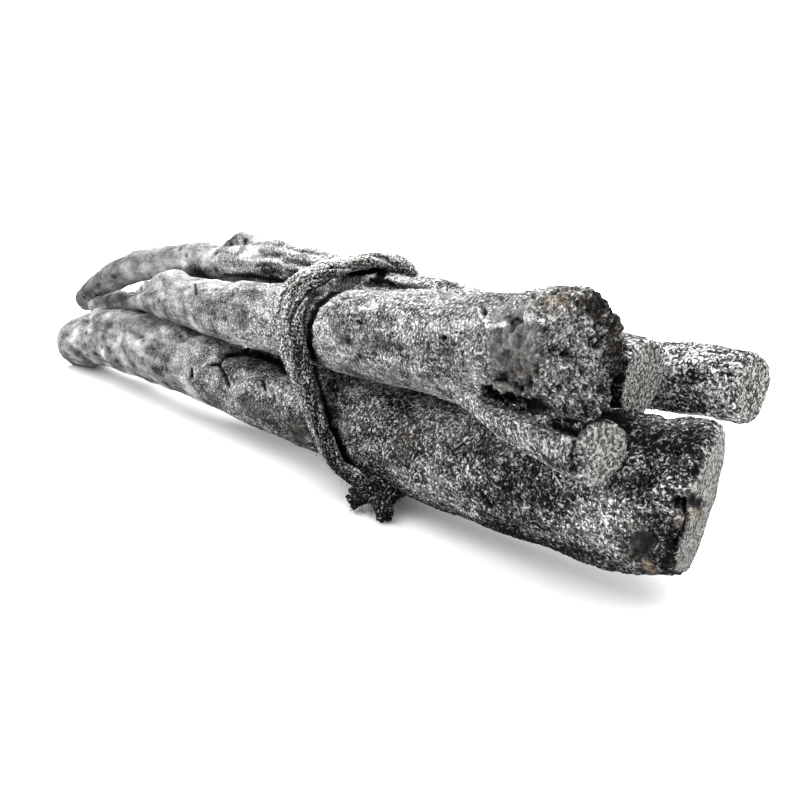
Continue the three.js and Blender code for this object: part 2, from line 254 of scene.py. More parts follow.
class Skin:
    """The points of one branch while its bark is being shaped, in millimetres."""

    # A branch is measured in slices of this length, and at every seventh point
    SLICE = 6.0
    SPARSE = 7
    # How much the bark stands off the solid
    SLACK = 0.15
    # A mark fades where the skin turns away from the camera, and its colour spreads further than its form
    TURN, TURNED = 0.2, 1.25
    SPREAD = 1.4
    PIT_WIDTHS = (0.5, 1.5)
    PIT_DEPTHS = (0.3, 1.0)
    CRACK_WIDTH, CRACK_DEPTH = 0.5, 0.8
    CRACK_STEP = 2

    def __init__(self, piece, node):
        self.piece = piece
        self.points = vertex_array(piece.data, "co") / MM
        self.normals = vertex_array(piece.data, "normal")
        self.rise = np.zeros(len(self.points))
        self.masks = {name: np.zeros(len(self.points)) for name in MASKS}
        self.wobble = 1 + 0.4 * noise(self.points / 1.3, 31) + 0.3 * noise(self.points / 0.6, 33)
        self.measure_grain()
        self.restore_girth(node)

    def slices(self, x):
        """Where the slices start, and the slice that each x lies in."""
        edges = np.arange(x.min(), x.max() + self.SLICE, self.SLICE)
        return edges, np.digitize(x, edges) - 1

    def restore_girth(self, node):
        """Gives back what the smoothing took, slice by slice."""
        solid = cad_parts[node].data
        tree = BVHTree.FromPolygons([v.co for v in solid.vertices], [f.vertices for f in solid.polygons])
        sample = np.arange(0, len(self.points), self.SPARSE)
        depths = []
        for i in sample:
            point = Vector(self.points[i] * MM)
            place, normal, _, _ = tree.find_nearest(point)
            depths.append((place - point).dot(normal) / MM)
        depths = np.array(depths)
        edges, index = self.slices(self.points[sample, 0])
        means = [depths[index == slot].mean() if (index == slot).any() else 0 for slot in range(len(edges))]
        self.rise += np.interp(self.points[:, 0], edges + self.SLICE / 2, means) + self.SLACK

    def measure_grain(self):
        """Where each point lies along and around its branch."""
        x = self.points[:, 0]
        edges, index = self.slices(x)
        centres = []
        for slot in range(len(edges)):
            here = self.points[index == slot]
            if len(here):
                centres.append([edges[slot] + self.SLICE / 2, *((here.min(0) + here.max(0)) / 2)[1:]])
        centres = np.array(centres)
        middle_y = np.interp(x, centres[:, 0], centres[:, 1])
        middle_z = np.interp(x, centres[:, 0], centres[:, 2])
        across, height = middle_y - self.points[:, 1], self.points[:, 2] - middle_z
        self.angle = np.arctan2(height, across)
        self.radius = np.hypot(across, height)
        girth = np.interp(x, centres[:, 0], [self.radius[index == i].mean() for i in range(len(centres))])
        self.grain = np.stack([x, girth * np.cos(self.angle), girth * np.sin(self.angle)], axis=1)

    def in_picture(self):
        """The pixel where each point shows, a pixel's size there, and 1 where the skin looks at the camera."""
        ray = (self.points + self.normals * self.rise[:, None]) * MM - np.array(CAMERA_PLACE)
        depth = ray @ np.array(LOOK_AHEAD)
        across = PICTURE_SIDE / 2 + PICTURE_FOCUS * (ray @ np.array(LOOK_RIGHT)) / depth
        down = PICTURE_SIDE / 2 - PICTURE_FOCUS * (ray @ np.array(LOOK_UP)) / depth
        facing = -(self.normals * ray).sum(axis=1) / np.linalg.norm(ray, axis=1)
        facing = np.clip(facing / self.TURN + self.TURNED, 0, 1)
        return np.stack([across, down], axis=1), depth / PICTURE_FOCUS / MM, facing

    def near(self, pixels, width):
        """1 along the line through these pixels of the picture, falling to 0 at this distance in millimetres."""
        places, pixel_size, facing = self.in_picture()
        distance = distance_to_line(places, pixels) * pixel_size
        return facing * np.clip(1 - (distance / (width * self.wobble)) ** 2, 0, 1)

    def mark(self, pixels, width, rise=0.0, **masks):
        """Raises or sinks the bark along pixels of the picture, and colours it."""
        share = self.near(pixels, width)
        self.rise += rise * share
        self.colour(share, masks)

    def marks(self, table, **masks):
        """Several marks of one kind: pixels, width and rise."""
        for pixels, width, rise in table:
            self.mark(pixels, width, rise, **masks)

    def tone(self, spots):
        """Makes the bark paler, and perhaps smoother, in soft patches: pixels, width, bloom and veil."""
        for pixels, width, bloom, *veil in spots:
            share = smooth_step(self.near(pixels, width), 0, 1)
            self.masks["bloom"] += bloom * share
            self.masks["veil"] += sum(veil) * share

    def colour(self, share, masks):
        for name, strength in masks.items():
            self.at_least(name, strength * np.clip(share * self.SPREAD, 0, 1))

    def at_least(self, name, values):
        self.masks[name] = np.maximum(self.masks[name], values)

    def scatter_pits(self, count, seed):
        """Small seeded pits all over the bark."""
        draw = np.random.default_rng(seed)
        tree = KDTree(len(self.points))
        for i, point in enumerate(self.points):
            tree.insert(point, i)
        tree.balance()
        for _ in range(count):
            centre = self.points[draw.integers(len(self.points))]
            width, depth = draw.uniform(*self.PIT_WIDTHS), draw.uniform(*self.PIT_DEPTHS)
            stretch = draw.uniform(1.0, 2.2)
            found = np.array([i for _, i, _ in tree.find_range(centre, width * stretch)])
            offset = (self.points[found] - centre) / (width * stretch, width, width)
            share = np.clip(1 - (offset ** 2).sum(axis=1), 0, 1)
            self.rise[found] -= depth * share
            self.masks["soot"][found] = np.maximum(self.masks["soot"][found], 0.9 * share)

    def crack(self, start_x, start_angle, length, seed):
        """A seeded crack that wanders along the grain."""
        draw = np.random.default_rng(seed)
        heading = 0.0
        place = np.array([start_x, start_angle * self.radius.mean()])
        shown = []
        for _ in range(length // self.CRACK_STEP):
            shown.append(self.at_grain(place[0], place[1] / self.radius.mean()))
            heading += draw.normal(0, 0.35)
            place = place + self.CRACK_STEP * np.array([math.cos(heading), math.sin(heading)])
        distance = distance_to_line(self.points, shown)
        share = np.clip(1 - (distance / (self.CRACK_WIDTH * self.wobble)) ** 2, 0, 1)
        self.rise -= self.CRACK_DEPTH * share
        self.colour(share, {"soot": 0.95})

    def at_grain(self, x, angle):
        turn = np.angle(np.exp(1j * (self.angle - angle))) * self.radius
        return self.points[np.argmin((self.points[:, 0] - x) ** 2 + turn ** 2)]

    def finish(self, material, slot, node):
        """Moves the points, none of them below the table, stores the masks and dresses the piece."""
        moved = self.points + self.normals * self.rise[:, None]
        moved[:, 2] = np.maximum(moved[:, 2], 0)
        mesh = self.piece.data
        mesh.vertices.foreach_set("co", (moved * MM).astype(np.float32).ravel())
        store_marks(mesh, self.masks, self.grain)
        mesh.update()
        dress(self.piece, material, node)


def dress(piece, material, node):
    piece.data.materials.clear()
    piece.data.materials.append(material)
    piece.data.polygons.foreach_set("use_smooth", [True] * len(piece.data.polygons))
    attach(piece, BODY)
    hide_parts(node)


# How much the dry bark and fibre mirror, how evenly their tones step for the eye, and how fine their noise is
DULLNESS = 0.03
TONE_CURVE = 2.2
CLOUD_GRIT = 0.55
DARK_ROUGHNESS = 0.95
# How far the bumps reach
BUMP_STRENGTH = 0.9
BARK_BUMP = 0.22 * MM
CORD_BUMP = 0.26 * MM
# Grains of the bark in a metre, and where along the bundle, in metres, the smooth bark becomes grainy
FLECKS = 1500
SMOOTH_BARK, GRAINY_BARK = -0.08, 0.07


class Value:
    """A shader socket that takes part in sums, so that an expression adds its nodes."""

    def __init__(self, maker, socket):
        self.maker, self.socket = maker, socket

    def math(self, operation, *others):
        return self.maker.value("ShaderNodeMath", {"operation": operation}, [self, *others])

    def __add__(self, other):
        return self.math("ADD", other)

    __radd__ = __add__

    def __mul__(self, other):
        return self.math("MULTIPLY", other)

    __rmul__ = __mul__

    def __sub__(self, other):
        return self.math("SUBTRACT", other)

    def __rsub__(self, other):
        return self.maker.value("ShaderNodeMath", {"operation": "SUBTRACT"}, [other, self])

    def __abs__(self):
        return self.math("ABSOLUTE")

    def clamped(self):
        return self.maker.value("ShaderNodeMath", {"operation": "ADD", "use_clamp": True}, [self, 0.0])

    def stepped(self, low, high):
        """0 below low and 1 above high, smooth between."""
        settings = {"interpolation_type": "SMOOTHSTEP"}
        return self.maker.value("ShaderNodeMapRange", settings, {0: self, 1: low, 2: high})


class Maker:
    """Makes the nodes of one material, or of the sky."""

    def __init__(self, owner, shader="Principled BSDF"):
        owner.use_nodes = True
        self.owner = owner
        self.nodes = owner.node_tree.nodes
        self.links = owner.node_tree.links
        self.shader = self.nodes[shader].inputs

    def node(self, kind, settings=(), inputs=()):
        """Adds a node: its settings first, and then the values or links of its sockets."""
        made = self.nodes.new(kind)
        for name, value in dict(settings).items():
            setattr(made, name, value)
        pairs = inputs.items() if isinstance(inputs, dict) else enumerate(inputs)
        for place, value in pairs:
            self.plug(made.inputs[place], value)
        return made

    def plug(self, socket, value):
        if isinstance(value, Value):
            self.links.new(value.socket, socket)
        else:
            socket.default_value = value

    def value(self, kind, settings=(), inputs=(), output=0):
        return Value(self, self.node(kind, settings, inputs).outputs[output])

    def mask(self, name):
        return self.value("ShaderNodeAttribute", {"attribute_name": name}, output=2)

    def place(self):
        return self.value("ShaderNodeTexCoord", output=3)

    def along(self):
        """How far along the bundle, in metres; the near end is the larger."""
        return self.value("ShaderNodeSeparateXYZ", inputs=[self.place()])

    def grain(self):
        return self.value("ShaderNodeAttribute", {"attribute_name": "grain"}, output=1)

    def stretched(self, vector, scale):
        return self.value("ShaderNodeVectorMath", {"operation": "MULTIPLY"}, {0: vector, 1: scale})

    def cloud(self, vector, scale, detail, distortion=0.0):
        inputs = {"Vector": vector, "Scale": scale, "Detail": detail,
                  "Roughness": CLOUD_GRIT, "Distortion": distortion}
        return self.value("ShaderNodeTexNoise", inputs=inputs)

    def mix(self, factor, first, second):
        """A colour between two others."""
        settings = {"data_type": "RGBA", "clamp_factor": True}
        return self.value("ShaderNodeMix", settings, {0: factor, 6: first, 7: second}, output=2)

    def finish(self, colour, tone, height, distance):
        """A dull surface, a little smoother where its tone is pale."""
        inputs = {"Strength": BUMP_STRENGTH, "Distance": distance, "Height": height}
        self.plug(self.shader["Base Color"], colour)
        self.plug(self.shader["Roughness"], DARK_ROUGHNESS - 0.1 * tone)
        self.plug(self.shader["Specular IOR Level"], DULLNESS)
        self.plug(self.shader["Normal"], self.value("ShaderNodeBump", inputs=inputs))
        return self.owner


def opaque(colour, share=1.0):
    return (*[channel * share for channel in colour], 1.0)


def bark_material(name, striae, warmth=0.0, blotch=0.8, curl=0.55, sharp=1.0):
    """Black bark under a white bloom, whose tone the masks give, broken up into curls, grains and blotches.

    The bark is smoother towards the far end, where blotches take the place of grains."""
    settings = bpy.context.scene.bundle_bark
    maker = Maker(bpy.data.materials.new(name))
    place, grain = maker.place(), maker.grain()
    bloom, veil, soot, tan, face = [maker.mask(mask) for mask in MASKS]

    rice = maker.cloud(place, FLECKS, detail=1.0) - 0.5
    dust = maker.cloud(place, FLECKS * 2.1, detail=0.0) - 0.5
    curls = 1 - abs(maker.cloud(place, FLECKS * 0.42, detail=1.0, distortion=1.2) - 0.5).stepped(0.015, 0.075)
    grains = rice.stepped(-0.09, 0.09)
    lines = maker.cloud(maker.stretched(grain, (120, 1500, 1500)), 1.0, detail=1.5) - 0.5
    patches = maker.cloud(maker.stretched(grain, (95, 260, 260)), 1.0, detail=3) - 0.5
    blotches = maker.cloud(place, 85, detail=3) - 0.5

    far = 1 - maker.along().stepped(SMOOTH_BARK, GRAINY_BARK)
    strokes = (curls * (0.3 + 0.7 * grains) - 0.25) * curl * (1 - 0.85 * face)
    broken = (grains - 0.5) * (0.32 + 0.04 * face) + strokes + dust * 0.7 + lines * striae * (1 - 0.9 * face)
    calm = (1 - 0.8 * veil) * (0.55 + 0.9 * bloom) * sharp
    soft = patches * (0.8 + 0.45 * far) + blotches * blotch
    tone = (bloom + calm * (1 - 0.8 * far) * broken + (1 - 0.7 * veil) * (1 - 0.85 * face) * soft).clamped()
    white = maker.mix(face * 0.8, opaque(settings.bloom), opaque(settings.sawn))
    colour = maker.mix(tone.math("POWER", TONE_CURVE), opaque(settings.charcoal), white)
    if warmth:
        straw = maker.cloud(place, 120, detail=2).stepped(0.5, 0.7) * warmth
        colour = maker.mix(straw, colour, opaque(settings.wood, 0.6))
    wood = maker.mix(rice.stepped(-0.15, 0.12), opaque(settings.wood, 0.5), opaque(settings.wood, 1.5))
    colour = maker.mix(tan * (0.45 + 0.55 * patches.stepped(-0.15, 0.1)), colour, wood)
    # Darkens towards half the charcoal: soot in cracks and pits, and painted shade in gaps, hollows and beside
    # the cord
    colour = maker.mix(soot, colour, opaque(settings.charcoal, 0.5))

    height = tone * 0.9 + (rice * 0.5 + lines * striae * 0.5 * (1 - face)) * (1 - 0.6 * far)
    return maker.finish(colour, tone, height, BARK_BUMP)


def cord_material():
    """Dusty plant fibre; white crumbs cling between its threads."""
    settings = bpy.context.scene.bundle_cord
    maker = Maker(bpy.data.materials.new("cord_fibre"))
    place, grain = maker.place(), maker.grain()
    bloom, rust = maker.mask("bloom"), maker.mask("rust")
    threads = maker.cloud(maker.stretched(grain, (330, 4200, 4200)), 1.0, detail=1.5) - 0.5
    rice = maker.cloud(place, 1800, detail=1.0) - 0.5
    dust = maker.cloud(place, 3400, detail=0.0) - 0.5
    mottle = maker.cloud(place, 190, detail=3) - 0.5
    broken = rice * 2.5 + dust * 1.1 + threads * 0.4 + mottle * 0.7
    tone = (bloom + broken * (1 - 0.45 * rust)).clamped()
    white = maker.mix(rust, opaque(settings.dust), opaque(settings.rust))
    colour = maker.mix(tone.math("POWER", TONE_CURVE), opaque(settings.fibre), white)
    return maker.finish(colour, tone, threads * 0.6 + tone * 1.1, CORD_BUMP)


def shape_bark(skin, tones, seed, crust_from, crust_to, furrow_width, crust=1.0, furrow=1.0, swell=0.3):
    """Broad swellings, furrows along the grain, and a crust that grows towards the near end.

    The tones are the bark's paleness and its smoothness at some places along the branch."""
    settings = bpy.context.scene.bundle_bark
    x = skin.points[:, 0]
    stations, blooms, veils = np.array(tones).T
    skin.masks["bloom"] += np.interp(x, stations, blooms)
    skin.masks["veil"] += np.interp(x, stations, veils)
    near = smooth_step(x, crust_from, crust_to)
    broad = layered_noise(skin.points / 9.0, seed)
    furrows = layered_noise(skin.grain / (13.0, furrow_width, furrow_width), seed + 5)
    warped = skin.points / 2.1 + 0.5 * np.stack(
        [noise(skin.points / 3.5, seed + 11 + i) for i in range(3)], axis=1)
    ridges = creases(warped, seed + 17)
    grains = noise(skin.points / 1.15, seed + 23)
    crust_height = 0.8 * ridges + 0.35 * grains - 0.35
    deep, high = furrow * settings.furrow / MM, crust * settings.crust / MM
    skin.rise += swell * broad + deep * furrows * (1 - 0.45 * near) + high * (0.14 + 0.86 * near) * crust_height
    worn = 0.16 * crust_height * (0.3 + 0.7 * near) + 0.06 * furrows * (1 - 0.5 * near)
    skin.masks["bloom"] += worn + 0.06 * skin.normals[:, 2]


# The paleness of the cut faces, and how straight the skin looks along the branch where one begins
CUT_TONE = 0.46
CUT_TURN = (0.6, 0.75)


def flatten_ends(skin, near=True, far=True, reach=0.9):
    """Marks the cut faces at a branch's ends, and takes most of the bark's form off them."""
    x = skin.points[:, 0]
    facing = skin.normals[:, 0]
    if near:
        skin.at_least("face", smooth_step(facing, *CUT_TURN) * (x > np.percentile(x, 90)))
    if far:
        skin.at_least("face", smooth_step(-facing, *CUT_TURN) * (x < np.percentile(x, 10)))
    face = skin.masks["face"]
    skin.masks["bloom"] += face * (CUT_TONE - skin.masks["bloom"])
    skin.rise *= 1 - 0.8 * face * reach
    skin.rise += face * 0.12 * noise(skin.points / 0.9, 91)


# Pixels of the slot between the front branch and its shoot, of the bare edge above it,
# and of a fine ridge and the smooth dark place on the front branch
SLOT = [(489, 397), (505, 401), (521, 405)]
SLOT_END = [(519, 404), (543, 411)]
SLOT_EDGE = [(500, 389), (515, 394), (530, 399)]
RIDGE = [(479, 310), (483, 319), (488, 327), (506, 324)]
SMOOTH_PLACE = [(512, 335), (516, 364)]


class BranchOperator:
    """What the branches share: a fine copy of the solid, the bark's form and its material."""

    bl_options = {"REGISTER", "UNDO"}
    slot = "smooth_bark"
    coarser = 1.0

    def execute(self, context):
        skin = Skin(fine_copy(self.node, self.smoothing, self.coarser), self.node)
        self.shape(skin, context.scene.bundle_bark.pits)
        skin.finish(bark_material(**self.bark), self.slot, self.node)
        return {"FINISHED"}


class BUNDLE_OT_log(BranchOperator, bpy.types.Operator):
    """Makes the thickest branch, with crusty bark and a broken near end"""

    bl_idname = "bundle.log"
    bl_label = "Log"
    node = "log"
    slot = "rough_bark"
    smoothing = 22
    coarser = 1.2
    bark = {"name": "rough_bark", "striae": 0.1, "warmth": 0.12, "curl": 0.6, "sharp": 0.86}
    tones = [(-150, 0.54, 0.25), (-60, 0.5, 0.2), (0, 0.42, 0.0), (80, 0.36, -0.1), (150, 0.33, -0.1)]
    # Soft patches: pixels, width, how much paler, and how much smoother where it isn't 0
    patches = [
        ([(228, 352), (255, 360), (285, 374)], 5, -0.03, -0.3), ([(320, 380), (400, 398), (470, 416)], 5, 0.02),
        ([(400, 412), (450, 428), (500, 450)], 6, -0.05), ([(500, 470), (520, 500)], 6, -0.12),
        # The first patch on this line is painted shade on the log's top, under the front branch's end
        ([(632, 426), (700, 430)], 4.5, -0.2), ([(625, 425), (640, 445), (628, 470)], 5, -0.06),
        ([(640, 470), (690, 480)], 7, -0.04), ([(600, 515), (640, 522), (665, 530)], 6, 0.04),
        ([(625, 548), (632, 560)], 3, 0.08), ([(658, 540), (682, 560)], 6, -0.05, 0.3),
        ([(250, 405), (300, 430)], 5, -0.12, 0.5), ([(400, 510), (460, 535), (540, 555)], 4.5, -0.27),
        ([(300, 435), (350, 470)], 4, -0.08, 0.2), ([(335, 400), (345, 430), (352, 455)], 4, -0.12),
        ([(560, 558), (640, 572), (690, 574)], 3.5, -0.14, 0.1), ([(128, 345), (140, 350)], 5, 0.1),
        ([(163, 341), (178, 346)], 4, 0.14), ([(262, 385), (285, 398)], 5, 0.14, -0.2),
        ([(335, 385), (345, 400)], 3.5, 0.08), ([(118, 322), (150, 328), (180, 338)], 2.5, -0.1),
    ]
    # Forms: pixels, width and rise
    forms = [
        ([(100, 317), (125, 318), (150, 322), (178, 331)], 4, 2.3),
        ([(590, 421), (603, 420), (618, 419)], 4, 1.5), ([(640, 418), (650, 418)], 3, 0.9),
        ([(232, 350), (256, 357), (284, 369)], 5, -1.8),
    ]
    dark_lines = [
        ([(684, 504), (686, 512), (688, 521), (684, 531), (679, 538), (675, 546)], 0.75, -2),
        ([(676, 502), (684, 505)], 1.3, -2), ([(696, 501), (700, 504)], 1.4, -1.8),
        # These two sink the bark and paint shade in the log's hollow under the front branch
        ([(222, 355), (236, 353), (248, 351)], 1.2, -0.8),
        ([(246, 350), (262, 354), (276, 360), (287, 368)], 2.2, -0.8),
        ([(210, 364), (219, 363), (224, 355)], 0.8, -0.9), ([(219, 365), (225, 377), (228, 386)], 0.7, -0.9),
        ([(480, 495), (485, 500), (490, 508)], 0.6, -0.8), ([(191, 369), (191, 377)], 0.8, -0.7),
        # The second mark on this line and the mark below it are painted shadow of the cord on the log
        ([(262, 380), (264, 389)], 0.7, -0.7), ([(312, 355), (316, 372), (322, 395), (329, 420)], 0.9, -0.3),
        ([(331, 428), (336, 440), (343, 458), (350, 472)], 1.7, -0.3),
        # Painted shade along the log's top, in the gap under the front branch's end
        ([(585, 421), (603, 418), (618, 420)], 2.2, 0),
    ]

    def shape(self, skin, pits):
        shape_bark(skin, self.tones, seed=3, crust_from=-20, crust_to=75, furrow_width=2.6)
        skin.scatter_pits(pits * 2, 41)
        skin.tone(self.patches)
        skin.marks(self.forms)
        skin.marks(self.dark_lines, soot=1.0)
        # Painted shade in the log's hollow under the front branch, and a dark line at its far end
        skin.marks([
            ([(238, 350), (262, 356), (284, 368)], 3.8, 0),
            ([(125, 331), (121, 345), (129, 360), (134, 366)], 0.8, -0.4),
        ], soot=0.55)
        skin.mark([(638, 541), (646, 543), (638, 552)], 1.7, -1.3, soot=0.8, veil=1.0)
        skin.mark([(676, 512), (682, 524)], 1.1, 0.25, tan=0.28)
        skin.mark([(691, 509), (696, 513)], 1.3, 0.25, tan=0.4)
        skin.mark([(645, 562), (650, 567), (655, 573)], 0.8, 0.0, tan=0.35)
        flatten_ends(skin)


class BUNDLE_OT_front_branch(BranchOperator, bpy.types.Operator):
    """Makes the branch on the viewer's side, with its slot, pits and rough near end"""

    bl_idname = "bundle.front_branch"
    bl_label = "Front Branch"
    node = "front_branch"
    slot = "chalky_bark"
    smoothing = 28
    bark = {"name": "chalky_bark", "striae": 0.6, "warmth": 0.05, "blotch": 0.7, "curl": 0.45, "sharp": 0.85}
    tones = [
        (-140, 0.54, 0.3), (0, 0.54, 0.1), (100, 0.51, 0.15), (130, 0.5, 0.1), (140, 0.46, 0.0), (148, 0.33, 0.0)]
    patches = [
        (SMOOTH_PLACE, 6.5, -0.19, 0.95), ([(345, 370), (400, 380), (460, 392)], 3.5, -0.05, 0.35),
        # This patch is painted shade on the bark beside the cord
        ([(318, 298), (308, 312), (302, 330), (304, 350)], 1.8, -0.24),
        ([(330, 342), (420, 352), (470, 366)], 2.5, -0.06, 0.3), ([(336, 318), (342, 334)], 3, -0.14, 0.3),
        ([(360, 333), (385, 342)], 2.5, -0.1, 0.3), ([(203, 300), (216, 308)], 4, -0.12, 0.2),
        ([(238, 308), (243, 324)], 2.6, -0.2, 0.4), ([(250, 296), (262, 300)], 3, -0.1, 0.2),
        ([(172, 273), (184, 275)], 3, 0.14), ([(193, 281), (237, 283)], 2.5, 0.1),
        ([(450, 300), (500, 303), (545, 306)], 4, -0.05, 0.2),
        ([(535, 335), (558, 350), (570, 380)], 8, 0.17, 0.1),
        ([(614, 352), (624, 360), (618, 374), (615, 392)], 2.5, -0.18),
        ([(590, 300), (612, 315), (618, 335)], 3, -0.1), ([(560, 330), (590, 370)], 9, -0.04),
        ([(600, 300), (618, 350), (610, 395)], 5, -0.12, -0.1),
        # This patch is painted shade at the thin far end, between the arched branch and the log
        ([(108, 303), (125, 300), (150, 310)], 3, -0.1, 0.3),
    ]
    dark_lines = [
        (SLOT, 1.6, -1.8), (SLOT_END, 2, -1.2),
        ([(485, 390)], 1.4, -1.5), ([(495, 381), (503, 382), (511, 385)], 0.45, -0.6),
        ([(515, 386), (522, 390)], 0.75, -0.5), ([(483, 311)], 0.9, -0.9), ([(511, 322), (517, 318)], 0.6, -0.7),
        ([(442, 337)], 0.9, -1.1), ([(360, 323)], 0.6, -0.7), ([(391, 333)], 0.5, -0.5),
        ([(569, 352)], 1.1, -1.3), ([(195, 284), (196, 294)], 0.5, -0.3),
        # The last mark here is painted shadow of the cord on the bark beside it
        ([(350, 285), (331, 294), (317, 306), (309, 325), (309, 345), (314, 360)], 1, -0.4),
    ]
    # Where the torn end begins and where it is full, in millimetres from the tip
    torn_from, torn_full = 17, 8

    def shape(self, skin, pits):
        shape_bark(skin, self.tones, seed=57, crust_from=-30, crust_to=110, furrow_width=2,
                   crust=0.7, swell=0.22)
        skin.scatter_pits(pits, 43)
        skin.tone(self.patches)
        skin.rise *= 1 - 0.85 * skin.near(SMOOTH_PLACE, 6.0)
        lens = skin.near(SLOT_EDGE, 1.7)
        skin.rise *= 1 - 0.8 * lens
        skin.masks["veil"] += 0.5 * lens
        skin.at_least("tan", 0.14 * lens)
        skin.marks([
            ([(100, 301), (110, 298), (118, 295)], 2.6, 1.4), ([(130, 291), (145, 287), (156, 283)], 3, -2),
            (RIDGE, 0.5, 0.3),
            ([(548, 406), (562, 412), (580, 415), (596, 409)], 4, 1.7),
        ])
        skin.marks(self.dark_lines, soot=1.0)
        skin.mark([(445, 351)], 1.5, -0.8, soot=0.5)
        # Painted shade at the thin far end, between the arched branch and the log
        skin.mark([(98, 300), (110, 299), (121, 297)], 3.0, 0.0, soot=0.6)
        skin.mark([(431, 337)], 0.7, 0.1, tan=0.8)
        skin.mark([(546, 303), (556, 300), (561, 299)], 1.6, 0.15, tan=0.55)
        skin.tone([
            (RIDGE, 0.5, 0.5, -0.8),
            ([(517, 318), (532, 319), (546, 324)], 0.6, 0.3, -0.6),
        ])
        self.roughen_end(skin)
        flatten_ends(skin, near=False)

    def roughen_end(self, skin):
        """Torn, crumbly end grain on the flared near end."""
        x = skin.points[:, 0]
        torn = smooth_step(x, x.max() - self.torn_from, x.max() - self.torn_full)
        lumps = noise(skin.points / 4.2, 70)
        crumbs = creases(skin.points / 2.0, 71) + 0.7 * noise(skin.points / 1.1, 72)
        skin.rise += torn * (0.9 * lumps + 0.75 * (crumbs - 0.6))
        holes = smooth_step(noise(skin.points / 2.1, 73), 0.25, 0.5) * torn
        skin.rise -= holes
        skin.at_least("soot", 0.85 * holes)
        skin.masks["bloom"] += 0.12 * torn * (crumbs - 0.5)
        skin.at_least("tan", 0.06 * torn)


class BUNDLE_OT_side_shoot(BranchOperator, bpy.types.Operator):
    """Makes the cut-off shoot under the front branch"""

    bl_idname = "bundle.side_shoot"
    bl_label = "Side Shoot"
    node = "side_shoot"
    slot = "chalky_bark"
    smoothing = 8
    bark = {"name": "shoot_bark", "striae": 0.75, "blotch": 0.4, "curl": 0.45, "sharp": 0.85}
    tones = [(100, 0.48, 0.1), (135, 0.46, 0.0), (160, 0.4, 0.0)]
    # How much the bark makes the thin shoot thicker
    fullness = 0.25

    def shape(self, skin, pits):
        skin.rise += self.fullness
        shape_bark(skin, self.tones, seed=101, crust_from=60, crust_to=120, furrow_width=0.9,
                   crust=0.25, furrow=0.8, swell=0.1)
        skin.mark([(487, 401), (510, 407), (538, 414)], 2.2, -1.3)
        skin.mark([(546, 420), (562, 424), (576, 428)], 2.0, -1.8)
        skin.marks([
            (SLOT, 1.6, -0.9), (SLOT_END, 2, -0.9),
            ([(545, 417), (556, 424), (568, 429), (579, 433)], 1.4, -0.6),
            ([(558, 412), (575, 415), (592, 413)], 1.3, -1.6),
            ([(580, 430), (588, 421), (600, 418), (612, 419)], 0.9, -0.4),
            ([(575, 440), (571, 452), (572, 466), (577, 472)], 0.6, -0.9),
        ], soot=1.0)
        skin.tone([([(535, 432), (552, 445), (560, 460)], 4.5, -0.03, 0.1)])
        flatten_ends(skin, far=False, reach=0.6)


